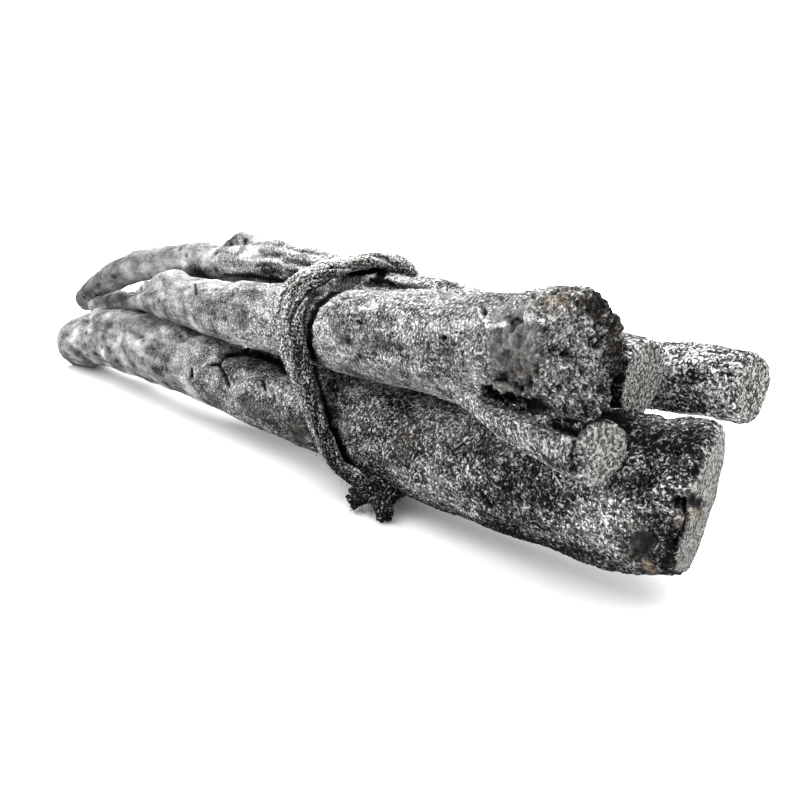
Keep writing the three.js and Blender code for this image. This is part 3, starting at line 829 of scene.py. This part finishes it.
class BUNDLE_OT_arched_branch(BranchOperator, bpy.types.Operator):
    """Makes the arched branch on top, with its knob and wrinkles"""

    bl_idname = "bundle.arched_branch"
    bl_label = "Arched Branch"
    node = "arched_branch"
    smoothing = 20
    bark = {"name": "smooth_bark", "striae": 0.6, "warmth": 0.05}
    tones = [
        (-170, 0.38, 0.8), (-60, 0.55, 0.4), (0, 0.68, 0.2), (60, 0.66, 0.2), (100, 0.64, 0.1), (140, 0.46, 0.0)]
    patches = [
        # The first patch is dark bark and painted shade by the front branch's end; the second is painted shade
        # along the underside, above the front branch
        ([(612, 350), (616, 380), (612, 404)], 4, -0.5), ([(190, 272), (230, 277), (290, 281)], 3, -0.25),
        ([(265, 258), (300, 262)], 3, -0.1),
    ]
    dark_lines = [
        ([(253, 258), (266, 255), (282, 253)], 1.1, -0.7), ([(261, 251), (271, 250)], 1, -0.5),
        ([(284, 261), (295, 261), (309, 265)], 0.9, -0.6), ([(257, 266), (273, 264), (283, 264)], 0.8, -0.5),
        ([(292, 256), (301, 254), (307, 256)], 0.7, -0.4), ([(308, 252), (314, 253)], 0.8, -0.4),
        ([(318, 253), (327, 253)], 0.6, -0.3), ([(330, 260)], 1, -0.4), ([(244, 248), (236, 254)], 0.9, -0.5),
        ([(225, 244), (238, 243)], 0.9, -0.4), ([(229, 238), (235, 237)], 0.9, -0.3),
        ([(233, 262), (234, 267)], 0.6, -0.4),
    ]
    # Marks that sink and darken the bark; the long ones along its underside are painted shade above the front
    # branch
    gaps = [
        ([(245, 240), (245, 243)], 0.9, -1.1), ([(225, 275), (253, 276), (263, 278), (291, 281)], 0.9, -0.3),
        ([(366, 284), (400, 286), (425, 289)], 1, -0.3),
    ]
    # Painted shadow under and beside the cord where it crosses the top, sunk a little
    shadows_under_cord = [
        ([(385, 266), (381, 273), (379, 281)], 1.9, -0.3), ([(372, 280), (382, 279), (392, 284)], 1.1, -0.3),
        ([(385, 270), (398, 271), (414, 274)], 0.9, -0.2), ([(350, 274), (362, 272), (376, 270)], 0.9, -0.2),
    ]
    knob_patches = [
        ([(256, 260), (276, 260)], 1.2, 0.2), ([(230, 249), (236, 250)], 1.2, 0.2),
        ([(250, 248), (256, 249)], 1.2, 0.2), ([(292, 267), (302, 267)], 1.2, 0.2),
        # The first patch on this line is painted shade along the underside, above the front branch
        ([(263, 272), (280, 271), (296, 272)], 1.8, -0.32),
        ([(228, 241), (238, 238), (248, 241)], 2.6, -0.2, 0.2), ([(256, 247), (280, 245)], 1.6, -0.14),
    ]

    def shape(self, skin, pits):
        shape_bark(skin, self.tones, seed=151, crust_from=-60, crust_to=120, furrow_width=1.7,
                   crust=0.45, swell=0.18)
        x = skin.points[:, 0]
        wrinkled = smooth_step(x, -14, 4) * (1 - smooth_step(x, 70, 100))
        folds = wrinkled * np.sin(skin.angle * 9 + 1.6 * noise(skin.grain / (14, 4, 4), 161))
        skin.rise += 0.34 * folds
        skin.masks["bloom"] += 0.12 * folds
        skin.tone(self.patches)
        skin.mark([(190, 270), (230, 276), (290, 280)], 2.4, 0.6)
        skin.mark([(103, 300), (118, 291)], 4.0, 1.0)
        skin.marks(self.dark_lines, soot=0.5)
        skin.marks(self.gaps, soot=0.9)
        skin.marks(self.shadows_under_cord, soot=1.0)
        skin.tone(self.knob_patches)
        skin.mark([(207, 247)], 1.3, -0.8, soot=0.3)
        skin.scatter_pits(pits // 2, 47)
        flatten_ends(skin)


class BUNDLE_OT_rear_branch(BranchOperator, bpy.types.Operator):
    """Makes the branch at the back"""

    bl_idname = "bundle.rear_branch"
    bl_label = "Rear Branch"
    node = "rear_branch"
    smoothing = 20
    bark = {"name": "rear_bark", "striae": 0.5}
    tones = [(-120, 0.5, 0.2), (60, 0.46, 0.1), (150, 0.5, -0.1)]

    def shape(self, skin, pits):
        shape_bark(skin, self.tones, seed=201, crust_from=-90, crust_to=120, furrow_width=1.8, crust=0.75)
        skin.scatter_pits(pits, 53)
        skin.tone([([(640, 345), (700, 352)], 5, 0.08)])
        for number in range(4):
            skin.crack(start_x=-80 + 55 * number, start_angle=1.2 + number, length=16, seed=60 + number)
        flatten_ends(skin)


# The doubled cord's route, in millimetres of the frame: x, y, z and how far each strand lies to its side
FRAME_SHIFT = (13.69, -8.67, 0.0)
TIE_ROUTE = [
    (72, -11.2, 5.2, 1.6),
    (62.8, -13.6, 8.4, 2.0),
    (59.2, -15.2, 14.0, 2.1),
    (55.6, -16.2, 21.0, 2.2),
    (51.8, -16.8, 28.5, 2.4),
    (49.0, -17.3, 35, 2.7),
    (46.2, -16.8, 41.2, 2.9),
    (43.6, -14.2, 46.8, 2.9),
    (42.6, -9.8, 50.9, 2.8),
    (42.8, -4, 53.6, 2.6),
    (45.0, 2, 55.4, 2.4),
    (48.2, 8.6, 56.0, 1.9),
    (50.4, 13.8, 54.2, 1.7),
    (51.6, 16.8, 50.0, 1.9),
    (52.6, 19.8, 43, 2.3),
    (53.6, 23.4, 35, 2.3),
    (54.6, 27.0, 29, 2.3),
    (56.4, 27.4, 24.2, 2.3),
    (59.2, 23.6, 18.4, 2.3),
    (62.2, 16.2, 10.4, 2.3),
    (65.0, 9.8, 4.7, 2.3),
    (67.6, 1.0, 2.2, 2.2),
    (70.4, -5, 2.3, 1.8),
    (73.0, -9.2, 3.8, 1.6),
]
# The y and z of the bundle's middle there, towards which a strand is pressed in
TIE_MIDDLE = (2.0, 28.0)
TAIL_STEP = 0.5
STRAND_SEED, KNOT_SEED, TAIL_SEED, HAIR_SEED = 300, 310, 320, 91
# Each strand's side, how far it is pressed in, flatness, share of yarns, browner fibre and paleness
STRANDS = [(-0.8, 0.9, 1.9, 1.4, 0.1, 0.5), (-0.2, 0.4, 1.6, 1.0, 0.6, 0.42), (0.5, 0.0, 1.2, 0.9, 0.3, 0.16)]
# How the loose hairs are shared among the strands and the tails
HAIR_SHARES = (0.3, 0.1, 0.28, 0.16, 0.16)
# The share of a strand's radius where hairs grow, and the place that they point away from
HAIR_ROOT = 0.92
HAIR_MIDDLE = (68.0, 0.0, 28.0)
HAIR_LENGTHS = (0.8, 3.2)
TAIL_ROUTES = [
    [(74.5, -10.6, 5.0), (73.2, -13.0, 3.8), (72.0, -16.0, 2.2)],
    [(74, -10.8, 5.2), (79, -12.2, 4.2), (83.6, -14.0, 2.0)],
]
KNOT_CENTRE = (74, -11.4, 5.4)
KNOT_SIZE = (2.1, 1.1, 1.35)


def curve_points(stops, step=0.9):
    """Evenly spaced points on a smooth curve through the stops."""
    stops = np.array(stops, float)
    padded = np.vstack([2 * stops[0] - stops[1], stops, 2 * stops[-1] - stops[-2]])
    dense = []
    for i in range(1, len(padded) - 2):
        a, b, c, d = padded[i - 1:i + 3]
        for t in np.linspace(0, 1, 24, endpoint=False):
            dense.append(0.5 * (2 * b + (c - a) * t + (2 * a - 5 * b + 4 * c - d) * t * t
                                + (3 * b - a - 3 * c + d) * t ** 3))
    dense.append(stops[-1])
    dense = np.array(dense)
    run = run_along(dense)
    even = np.linspace(0, run[-1], max(4, int(run[-1] / step)))
    return np.stack([np.interp(even, run, dense[:, axis]) for axis in range(3)], axis=1)


def turning_frames(path, start_side):
    """Two directions across the path at each of its points, which turn as little as they can."""
    ahead = np.gradient(path, axis=0)
    ahead /= np.linalg.norm(ahead, axis=1)[:, None]
    sides = []
    side = np.array(start_side, float)
    for direction in ahead:
        side = side - (side @ direction) * direction
        side /= np.linalg.norm(side)
        sides.append(side)
    sides = np.array(sides)
    return sides, np.cross(ahead, sides)


class Yarns:
    """Gathers thin tubes into one mesh; what looks up is paler, partly dust and partly painted light."""

    DUST_AND_TOP_LIGHT = 0.4
    # Painted light makes the cord palest on top of the bundle, and painted shade makes it darkest by the table,
    # between these heights
    TOP = (50, 56)
    FOOT = (4, 18)
    # Some yarns lie at the strand's surface and the rest within it, at these shares of its radius
    OUTER_YARNS = 0.7
    OUTER_REACH = (0.84, 1.0)
    INNER_REACH = (0.1, 0.6)
    YARN_SIDES, HAIR_SIDES = 6, 3
    HAIR_STEPS = 7
    HAIR_RADII = (0.085, 0.03)
    # How low the yarns and the hairs may lie
    LEAST_HEIGHT, HAIR_HEIGHT = 0.02, 0.12

    def __init__(self):
        self.points, self.faces, self.grain = [], [], []
        self.masks = {"bloom": [], "rust": []}
        self.count = 0

    def tube(self, path, radii, sides, bloom, rust=0.0):
        side, up = turning_frames(path, (0.3, 0.2, 0.9))
        turns = np.linspace(0, 2 * np.pi, sides, endpoint=False)
        ring = side[:, None] * np.cos(turns)[None, :, None] + up[:, None] * np.sin(turns)[None, :, None]
        points = path[:, None] + ring * radii[:, None, None]
        rows = len(path)
        self.points.append(points.reshape(-1, 3))
        offset = self.count
        for row in range(rows - 1):
            for i in range(sides):
                j = (i + 1) % sides
                a, b = offset + row * sides, offset + (row + 1) * sides
                self.faces.append((a + i, a + j, b + j, b + i))
        self.faces.append(tuple(offset + i for i in reversed(range(sides))))
        self.faces.append(tuple(offset + (rows - 1) * sides + i for i in range(sides)))
        round_it = np.tile([np.cos(turns) * radii.mean() + offset * 0.37, np.sin(turns) * radii.mean()], rows)
        self.grain.append(np.stack([np.repeat(run_along(path), sides), *round_it], axis=1))
        # Paler where the yarn faces up, partly dust and partly painted light
        self.masks["bloom"].append(np.repeat(bloom, sides) + self.DUST_AND_TOP_LIGHT * np.maximum(ring[:, :, 2].ravel(), 0))
        self.masks["rust"].append(np.full(rows * sides, rust))
        self.count += rows * sides

    def strand(self, path, seed, flat=1.0, count=1.0, rust=0.0, pale=0.02):
        """A strand of twisted yarns along a path; flat widens it, and count multiplies its yarns."""
        settings = bpy.context.scene.bundle_cord
        draw = np.random.default_rng(seed)
        side, up = turning_frames(path, (1.0, 0.0, 0.0))
        run = run_along(path)
        outer = (settings.thickness - settings.yarn) / 2 / MM
        yarns = round(settings.yarns * count)
        for number in range(yarns):
            inner = number >= yarns * self.OUTER_YARNS
            reach = outer * draw.uniform(*(self.INNER_REACH if inner else self.OUTER_REACH))
            phase = 2 * np.pi * number / (yarns * self.OUTER_YARNS) + draw.normal(0, 0.12)
            sample = np.stack([run / 9.0, np.full(len(run), 3.1 * number + seed), np.zeros(len(run))], axis=1)
            turn = phase + 2 * np.pi * run / (settings.lay / MM) + 0.35 * noise(sample, 5)
            wide = reach * (1 + 0.18 * noise(sample * (2.3, 1, 1), 6) + 0.1 * noise(sample * (7, 1, 1), 7))
            middle = path + side * (wide * np.cos(turn) * flat)[:, None]
            middle = middle + up * (wide * np.sin(turn) / flat)[:, None]
            thick = settings.yarn / 2 / MM * (
                1 + 0.3 * noise(sample * (3.1, 1, 1), 8) + 0.3 * noise(sample * (8, 1, 1), 10))
            bloom = pale + 0.12 * noise(sample * (1.7, 1, 1), 9) + draw.normal(0, 0.06)
            top, foot = smooth_step(path[:, 2], *self.TOP), smooth_step(path[:, 2], *self.FOOT)
            # Painted light on top of the bundle and painted shade by the table
            bloom = bloom + 0.36 * top + 0.18 * foot - 0.18
            self.tube(middle, thick, self.YARN_SIDES, bloom, rust * draw.uniform(0.3, 1.0))

    def hair(self, root, direction, length, draw):
        """One loose hair that curls away from the cord."""
        steps = self.HAIR_STEPS
        path, heading = [root], direction
        curl = draw.normal(0, 0.38, 3)
        for _ in range(steps - 1):
            heading = heading + curl * 0.5 + draw.normal(0, 0.12, 3)
            heading /= np.linalg.norm(heading)
            path.append(path[-1] + heading * length / steps)
        path = np.array(path)
        path[:, 2] = np.maximum(path[:, 2], self.HAIR_HEIGHT)
        bloom = np.full(steps, draw.uniform(0.1, 0.6))
        self.tube(path, np.linspace(*self.HAIR_RADII, steps), self.HAIR_SIDES, bloom)

    def mesh(self, name):
        """The mesh of all tubes, none of it below the table."""
        points = np.vstack(self.points)
        points[:, 2] = np.maximum(points[:, 2], self.LEAST_HEIGHT)
        made = bpy.data.meshes.new(name)
        made.from_pydata((points * MM).tolist(), [], self.faces)
        masks = {mask: np.concatenate(values) for mask, values in self.masks.items()}
        store_marks(made, masks, np.vstack(self.grain))
        made.update()
        return made


def knot_path():
    """A closed loop that crosses itself three times, as a pulled overhand knot does."""
    turn = np.linspace(0.2, 2 * np.pi + 0.1, 80)
    loop = np.stack([np.sin(turn) + 2 * np.sin(2 * turn), np.cos(turn) - 2 * np.cos(2 * turn),
                     -np.sin(3 * turn)], axis=1)
    return np.array(KNOT_CENTRE) + loop * KNOT_SIZE


class BUNDLE_OT_binding_cord(bpy.types.Operator):
    """Makes the doubled cord from twisted yarns, with its knot, loose ends and hairs"""

    bl_idname = "bundle.binding_cord"
    bl_label = "Binding Cord"
    bl_options = {"REGISTER", "UNDO"}

    def execute(self, context):
        yarns = Yarns()
        shift = np.array(FRAME_SHIFT)
        paths = []
        for number, (way, inset, flat, count, rust, pale) in enumerate(STRANDS):
            stops = []
            for x, y, z, spread in TIE_ROUTE:
                across, down = TIE_MIDDLE[0] - y, TIE_MIDDLE[1] - z
                inward = inset / math.hypot(across, down)
                stops.append((x + way * spread ** 2, y + inward * across, z + inward * down))
            paths.append(curve_points(stops) + shift)
            yarns.strand(paths[-1], STRAND_SEED + number, flat, count, rust, pale)
        yarns.strand(knot_path() + shift, KNOT_SEED)
        for number, route in enumerate(TAIL_ROUTES):
            paths.append(curve_points(route, TAIL_STEP) + shift)
            yarns.strand(paths[-1], TAIL_SEED + number)
        self.add_hairs(yarns, paths)
        piece = new_piece("binding_cord_fibres", yarns.mesh("binding_cord_fibres"))
        dress(piece, cord_material(), "binding_cord")
        return {"FINISHED"}

    def add_hairs(self, yarns, paths):
        settings = bpy.context.scene.bundle_cord
        draw = np.random.default_rng(HAIR_SEED)
        surface = settings.thickness / 2 / MM * HAIR_ROOT
        middle = np.array(HAIR_MIDDLE)
        for _ in range(settings.hairs):
            path = paths[draw.choice(len(paths), p=HAIR_SHARES)]
            root = path[draw.integers(2, len(path) - 2)]
            outward = root - middle
            outward[0] = 0
            outward /= np.linalg.norm(outward)
            direction = outward * draw.uniform(0.1, 0.8) + draw.normal(0, 0.7, 3)
            direction /= np.linalg.norm(direction)
            if direction @ outward < 0:
                direction -= 2 * (direction @ outward) * outward
            yarns.hair(root + direction * surface, direction, draw.uniform(*HAIR_LENGTHS), draw)


class BUNDLE_OT_stage(bpy.types.Operator):
    """Makes the pale floor, the soft lights and the camera"""

    bl_idname = "bundle.stage"
    bl_label = "Stage"
    bl_options = {"REGISTER", "UNDO"}

    FLOOR_SIDE = 6.0
    FLOOR_ROUGHNESS = 0.7
    KEY_PLACE = Vector((-0.1, 0.35, 0.9))
    KEY_SIDE = 0.9
    NEAREST_SEEN = 0.01

    def execute(self, context):
        settings = context.scene.bundle_stage
        deselect_all()
        bpy.ops.mesh.primitive_plane_add(size=self.FLOOR_SIDE, location=(0, 0, 0))
        floor = context.object
        floor.name = "floor"
        maker = Maker(bpy.data.materials.new("pale_floor"))
        maker.plug(maker.shader["Base Color"], opaque(settings.floor))
        maker.plug(maker.shader["Roughness"], self.FLOOR_ROUGHNESS)
        floor.data.materials.append(maker.owner)
        self.light_sky(context, settings)
        self.add_key_light(settings)
        self.add_camera(context)
        context.scene.view_settings.view_transform = "Standard"
        return {"FINISHED"}

    def light_sky(self, context, settings):
        """A white sky that is brightest overhead, so that little light gets in under the branches."""
        maker = Maker(bpy.data.worlds.new("studio"), "Background")
        direction = maker.value("ShaderNodeTexCoord")
        height = maker.value("ShaderNodeSeparateXYZ", inputs=[direction], output=2)
        strength = maker.value("ShaderNodeMapRange", inputs={0: height, 3: settings.horizon, 4: settings.sky})
        maker.plug(maker.shader["Color"], opaque((1, 1, 1)))
        maker.plug(maker.shader["Strength"], strength)
        context.scene.world = maker.owner

    def add_key_light(self, settings):
        data = bpy.data.lights.new("key_light", "AREA")
        data.size = self.KEY_SIDE
        data.energy = settings.key
        light = new_piece("key_light", data)
        light.location = self.KEY_PLACE
        light.rotation_euler = (-self.KEY_PLACE).to_track_quat("-Z", "Y").to_euler()

    def add_camera(self, context):
        data = bpy.data.cameras.new("camera")
        data.lens = CAMERA_LENS
        data.sensor_width = CAMERA_SENSOR
        data.clip_start = self.NEAREST_SEEN
        camera = new_piece("camera", data)
        camera.location = CAMERA_PLACE
        camera.rotation_euler = LOOK_AHEAD.to_track_quat("-Z", "Y").to_euler()
        context.scene.camera = camera


class BUNDLE_PT_panel(bpy.types.Panel):
    """Lists the bundle's pieces"""

    bl_idname = "BUNDLE_PT_panel"
    bl_label = "Tied Bundle of Branches"
    bl_space_type = "VIEW_3D"
    bl_region_type = "UI"
    bl_category = "Branches"

    def draw(self, context):
        for settings in (context.scene.bundle_bark, context.scene.bundle_cord, context.scene.bundle_stage):
            box = self.layout.box()
            for name in settings.bl_rna.properties.keys():
                if name not in {"rna_type", "name"}:
                    box.prop(settings, name)
        for operator in PIECE_OPERATORS:
            self.layout.operator(operator.bl_idname)


PIECE_OPERATORS = (
    BUNDLE_OT_stage,
    BUNDLE_OT_log,
    BUNDLE_OT_front_branch,
    BUNDLE_OT_side_shoot,
    BUNDLE_OT_arched_branch,
    BUNDLE_OT_rear_branch,
    BUNDLE_OT_binding_cord,
)
CLASSES = (BarkSettings, CordSettings, StageSettings, *PIECE_OPERATORS, BUNDLE_PT_panel)


def register():
    for kind in CLASSES:
        bpy.utils.register_class(kind)
    bpy.types.Scene.bundle_bark = PointerProperty(type=BarkSettings)
    bpy.types.Scene.bundle_cord = PointerProperty(type=CordSettings)
    bpy.types.Scene.bundle_stage = PointerProperty(type=StageSettings)


def unregister():
    del bpy.types.Scene.bundle_stage
    del bpy.types.Scene.bundle_cord
    del bpy.types.Scene.bundle_bark
    for kind in reversed(CLASSES):
        bpy.utils.unregister_class(kind)


def main():
    register()
    for operator in PIECE_OPERATORS:
        group, name = operator.bl_idname.split(".")
        getattr(getattr(bpy.ops, group), name)()


if __name__ == "__main__":
    main()
